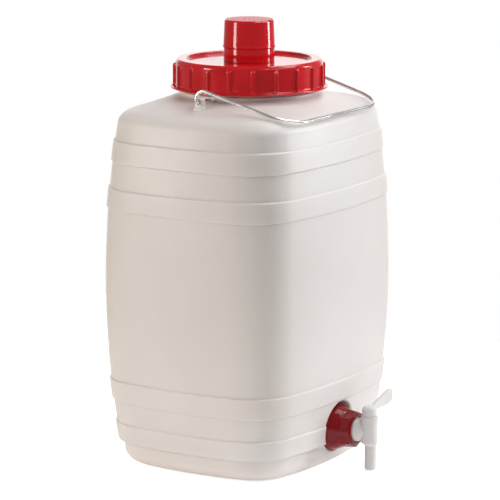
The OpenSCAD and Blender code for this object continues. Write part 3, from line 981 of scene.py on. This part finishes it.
def build_nut(material):
    back, front = -nut_high.y, -nut_low.y
    rows = []
    for r, depth in ((NUT_FLANGE_R - 0.6, 0), (NUT_FLANGE_R - 0.15, 0.2), (NUT_FLANGE_R, 0.6),
                     (NUT_FLANGE_R, 1.3), (NUT_FLANGE_R - 0.2, 1.65), (NUT_FLANGE_R - 0.6, 1.8)):
        rows.append((back + depth, constant(r)))
    for depth in spread(2.0, front - back - 2.2, 34):
        t = depth / (front - back)
        deep = NUT_HOLLOW * smooth_step((depth - 5) / 5) * smooth_step((1 - t) / 0.14)
        corner = NUT_CORNER_R[0] + (NUT_CORNER_R[1] - NUT_CORNER_R[0]) * t
        rows.append((back + depth, lambda g, c=corner, deep=deep, flare=flare_radius(depth):
                     max(flare, nut_radius(g, c, deep))))
    rows.append((front - 1.9, lambda g: nut_radius(g, NUT_CORNER_R[1] + 0.1, 0)))
    rows.append((front - 1.45, lambda g: nut_radius(g, NUT_CORNER_R[1] - 0.5, 0)))
    rows.append((front - 1.4, constant(NUT_COLLAR_R + 0.25)))
    for r, y in ((NUT_COLLAR_R, front - 1.2), (NUT_COLLAR_R, front - 0.5),
                 (NUT_COLLAR_R - 0.5, front), (NUT_OPENING_R + 0.5, front),
                 (NUT_OPENING_R, front - 0.5), (NUT_OPENING_R, FLANGE_FACE_Y + 3.0),
                 (NUT_OPENING_R + 0.4, FLANGE_FACE_Y + FLANGE_ROOM),
                 (NUT_BORE_R, FLANGE_FACE_Y + FLANGE_ROOM)):
        rows.append((y, constant(r)))
    inner_end = FLANGE_FACE_Y + 2.2
    for y in spread(inner_end, back + 0.5, 60):
        rows.append((y, lambda g, y=y: NUT_BORE_R - NUT_THREAD_H * thread_rise(NUT_THREAD, g, y)))
    rows.append((back, constant(NUT_BORE_R + 0.5)))
    rings = []
    for y, radius_at in rows:
        rings.append([(radius_at(g) * math.cos(g), radius_at(g) * math.sin(g), y)
                      for g in (2 * math.pi * j / NUT_COLUMNS for j in range(NUT_COLUMNS))])
    nut = place(skin("tap_nut", rings, closed=True), ALONG_TAP)
    shade(nut, 34)
    return dress(nut, material, "nut", "nut_plastic", "union_nut")


HOUSING_R = 10.2
HOUSING_Z = (33, 67)
SPOUT_R = 7.1
SPOUT_BORE_R = 4.5
INLET_R = 14.4
INLET_BORE_R = 7
TAP_FLANGE_R = 17.2
PLUG_R = 7.4
PLUG_GAP = 0.12
PLUG_BORE_LOW_Z = 36
SPOUT_BORE_TOP_Z = 37.5
TAP_Y = 170
SPOUT_Y = 171.5
TAP_UPRIGHT = Matrix.Translation((0, -TAP_Y * MM, 0))
SPOUT_UPRIGHT = Matrix.Translation((0, -SPOUT_Y * MM, 0))


def build_tap_body(material):
    inlet = place(lathe("tap_housing", [
        (0, FLANGE_FACE_Y, 0), (TAP_FLANGE_R, FLANGE_FACE_Y, 0.4),
        (TAP_FLANGE_R, FLANGE_FACE_Y + 2.5, 0.5), (INLET_R, FLANGE_FACE_Y + 2.5, 0.8),
        (INLET_R, FLANGE_FACE_Y + 8, 3.0), (9, TAP_Y, 0), (0, TAP_Y, 0)], 0.4, 96), ALONG_TAP)
    housing = place(lathe("housing", [
        (0, HOUSING_Z[0], 0), (HOUSING_R, HOUSING_Z[0], 1.4), (HOUSING_R, HOUSING_Z[1] - 0.05, 0.5),
        (0, HOUSING_Z[1] - 0.05, 0)], 0.4, 96), TAP_UPRIGHT)
    spout = place(lathe("spout", [
        (0, body_low.z, 0), (SPOUT_R - 1.2, body_low.z, 0.3), (SPOUT_R, body_low.z + 1.7, 0.5),
        (SPOUT_R, HOUSING_Z[0] - 3, 2.0), (SPOUT_R + 1.5, HOUSING_Z[0], 0.6),
        (SPOUT_R + 1.5, HOUSING_Z[0] + 2, 0), (0, HOUSING_Z[0] + 2, 0)], 0.4, 96), SPOUT_UPRIGHT)
    combine(inlet, "UNION", housing)
    combine(inlet, "UNION", spout)
    combine(inlet, "DIFFERENCE", hole(INLET_BORE_R, FLANGE_FACE_Y - 1, TAP_Y, ALONG_TAP))
    combine(inlet, "DIFFERENCE", hole(PLUG_R + PLUG_GAP, PLUG_BORE_LOW_Z, HOUSING_Z[1] + 2,
                                        TAP_UPRIGHT))
    combine(inlet, "DIFFERENCE", hole(SPOUT_BORE_R, body_low.z - 1, SPOUT_BORE_TOP_Z,
                                        SPOUT_UPRIGHT))
    melt(inlet, 0.42, 7)
    shade(inlet, 60)
    return dress(inlet, material, "vessel", "tap_plastic", "tap_body")


HUB_R = 9
HUB_LOW_Z = 67.05
HUB_SHOULDER_Z = 75.4
HUB_TOP_Z = 79.2
PORT_R = 4.4
LEVER_T = 5
# The lever seen from its side: distance from the plug's axis, height and the corner's radius
LEVER_SIDE = [(0, 72.4, 0), (42, 72.4, 14), (54, 76.6, 1.6), (54, 87.2, 1.8), (49.5, 91, 2.0),
              (42, 89.6, 10), (8, 78.8, 6), (0, 78.4, 0)]


def lever():
    side = rounded(LEVER_SIDE, 1, 8)
    half = LEVER_T / 2
    rings = [[(p.x, y, p.y) for p in side] for y in (half, -half)]
    return place(skin("lever", rings), TAP_UPRIGHT)


def build_tap_plug(material):
    plug = place(lathe("tap_plug_lever", [
        (0, plug_low.z, 0), (PLUG_R, plug_low.z, 0.4), (PLUG_R, HUB_LOW_Z, 0.2),
        (HUB_R, HUB_LOW_Z, 0.4), (HUB_R, HUB_SHOULDER_Z, 2.6), (6.4, HUB_TOP_Z - 0.2, 4.0),
        (0, HUB_TOP_Z, 0)], 0.4, 96, 8),
        TAP_UPRIGHT)
    combine(plug, "UNION", lever())
    port = Matrix.Translation((0, -TAP_Y * MM, TAP_AXIS_Z * MM)) @ Matrix.Rotation(-math.pi / 2, 4, "Y")
    combine(plug, "DIFFERENCE", hole(PORT_R, plug_low.z - 1, TAP_AXIS_Z, TAP_UPRIGHT))
    combine(plug, "DIFFERENCE", hole(PORT_R, 0, PLUG_R + 3, port))
    melt(plug, 0.36, 6)
    shade(plug, 60)
    return dress(plug, material, "plug", "tap_plastic", "tap_plug")


def soften(node, material, width):
    """A CAD node that keeps its shape: its own material, with its edges broken a little."""
    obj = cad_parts[node]
    obj.data.materials.clear()
    obj.data.materials.append(material)
    bevel = obj.modifiers.new("edges", "BEVEL")
    bevel.width = width * MM
    bevel.segments = 2
    bevel.limit_method = "ANGLE"
    bevel.angle_limit = math.radians(50)


# ---------------------------------------------------------------- studio

VIEW_TURN = math.radians(-58.69)
VIEW_RISE = math.radians(10.886)
VIEW_DISTANCE = 3.6
VIEW_HEIGHT = 0.2533
VIEW_ASIDE = 0.00108
VIEW_LENS = 211.97
VIEW_SENSOR = 36
LIGHT_AIM_HEIGHT = 0.27
FLOOR_HALF = 700


def direction(turn, rise):
    """From the object outwards; turn 0 is -Y, and turn grows towards +X."""
    return Vector((math.sin(turn) * math.cos(rise), -math.cos(turn) * math.cos(rise), math.sin(rise)))


def add_camera():
    data = bpy.data.cameras.new("camera")
    data.lens = VIEW_LENS
    data.sensor_width = VIEW_SENSOR
    camera = bpy.data.objects.new("camera", data)
    bpy.context.scene.collection.objects.link(camera)
    back = direction(VIEW_TURN, VIEW_RISE)
    right = Vector((math.cos(VIEW_TURN), math.sin(VIEW_TURN), 0))
    camera.location = Vector((0, 0, VIEW_HEIGHT)) + right * VIEW_ASIDE + back * VIEW_DISTANCE
    camera.rotation_euler = (-back).to_track_quat("-Z", "Y").to_euler()
    bpy.context.scene.camera = camera


def add_softbox(name, turn_deg, rise_deg, distance, size, watts, colour):
    """Soft panel whose turn is measured from the camera's side of the object, plus to the right."""
    data = bpy.data.lights.new(name, "AREA")
    data.shape = "RECTANGLE"
    data.size, data.size_y = size
    data.energy = watts
    data.color = colour
    light = bpy.data.objects.new(name, data)
    bpy.context.scene.collection.objects.link(light)
    out = direction(VIEW_TURN + math.radians(turn_deg), math.radians(rise_deg))
    light.location = Vector((0, 0, LIGHT_AIM_HEIGHT)) + out * distance
    light.rotation_euler = (-out).to_track_quat("-Z", "Y").to_euler()
    light.visible_camera = False


def add_world():
    """White cyclorama: bright behind the object, dimmer on the camera's side."""
    world = bpy.data.worlds.new("studio")
    bpy.context.scene.world = world
    world.use_nodes = True
    nodes, links = world.node_tree.nodes, world.node_tree.links
    nodes.clear()
    where = nodes.new("ShaderNodeTexCoord")
    behind = nodes.new("ShaderNodeVectorMath")
    behind.operation = "DOT_PRODUCT"
    behind.inputs[1].default_value = -direction(VIEW_TURN, 0)
    links.new(where.outputs["Generated"], behind.inputs[0])
    brightness = nodes.new("ShaderNodeMapRange")
    brightness.interpolation_type = "SMOOTHSTEP"
    for socket, value in (("From Min", 0.8), ("From Max", 0.97), ("To Min", 0.27), ("To Max", 1.3)):
        brightness.inputs[socket].default_value = value
    links.new(behind.outputs["Value"], brightness.inputs["Value"])
    dome = nodes.new("ShaderNodeBackground")
    dome.inputs["Color"].default_value = (1, 1, 1, 1)
    links.new(brightness.outputs["Result"], dome.inputs["Strength"])
    seen = nodes.new("ShaderNodeBackground")
    seen.inputs["Color"].default_value = (1, 1, 1, 1)
    ray = nodes.new("ShaderNodeLightPath")
    choose = nodes.new("ShaderNodeMixShader")
    links.new(ray.outputs["Is Camera Ray"], choose.inputs["Fac"])
    links.new(dome.outputs["Background"], choose.inputs[1])
    links.new(seen.outputs["Background"], choose.inputs[2])
    end = nodes.new("ShaderNodeOutputWorld")
    links.new(choose.outputs["Shader"], end.inputs["Surface"])


def add_floor():
    corners = [(x * FLOOR_HALF, y * FLOOR_HALF, 0) for x, y in ((-1, -1), (1, -1), (1, 1), (-1, 1))]
    floor = make("floor", corners, [(0, 1, 2, 3)])
    m = Shader("pale_floor", 0.6)
    m.shader.inputs["Emission Color"].default_value = (1, 1, 1, 1)
    seen = m.node("ShaderNodeLightPath").outputs["Is Camera Ray"]
    m.feed(m.shader.inputs["Emission Strength"], m.remap(seen, 0, 1, 0.2, 0.6))
    m.colour(m.mix(m.remap(m.noise(3), 0.3, 0.7, 0, 1), (0.93, 0.93, 0.93), (0.90, 0.90, 0.90)))
    floor.data.materials.append(m.material)


RED = (0.60, 0.006, 0.012)
RED_DEEP = (0.50, 0.004, 0.008)
NUT_RED = (0.24, 0.003, 0.005)
NUT_DEEP = (0.17, 0.002, 0.004)
MILKY = (0.76, 0.70, 0.675)
MILKY_DEEP = (0.72, 0.66, 0.63)
TAP_WHITE = (0.70, 0.67, 0.66)
TAP_DEEP = (0.66, 0.63, 0.62)

add_camera()
bpy.context.scene.view_settings.view_transform = "Standard"
add_world()
add_floor()
add_softbox("softbox_left", -66, 14, 1.9, (0.45, 1.0), 17.5, (1.0, 0.92, 0.81))
add_softbox("softbox_right", 44, 46, 1.9, (0.9, 0.7), 9.5, (0.96, 0.99, 1.0))
add_softbox("softbox_side", 100, 16, 1.9, (0.35, 1.0), 17, (0.95, 0.98, 1.0))
add_softbox("softbox_top", 100, 62, 1.6, (0.9, 0.8), 10, (1.0, 1.0, 1.0))

milky = natural_plastic("natural_plastic", MILKY, MILKY_DEEP, 9)
tap_milky = natural_plastic("tap_plastic", TAP_WHITE, TAP_DEEP, 5)
glossy_red = red_plastic("red_plastic", RED, RED_DEEP)
nut_red = red_plastic("nut_plastic", NUT_RED, NUT_DEEP, 0.2, coat=0.4)
top_red = stippled_plastic("cap_top_grain", RED, RED_DEEP)
wire_steel = steel_wire("wire")
grey_rubber = rubber("rubber", (0.09, 0.09, 0.095))
bell_plastic = clear_plastic("clear_plastic")

build_vessel(milky)
build_lid(glossy_red)
build_airlock_cup(glossy_red)
build_airlock_cap(glossy_red, top_red)
build_bail(wire_steel)
build_nut(nut_red)
build_tap_body(tap_milky)
build_tap_plug(tap_milky)
soften("lid_gasket", grey_rubber, 0.3)
soften("tap_gasket", grey_rubber, 0.2)
soften("airlock_seal", grey_rubber, 0.2)
soften("airlock_bell", bell_plastic, 0.2)
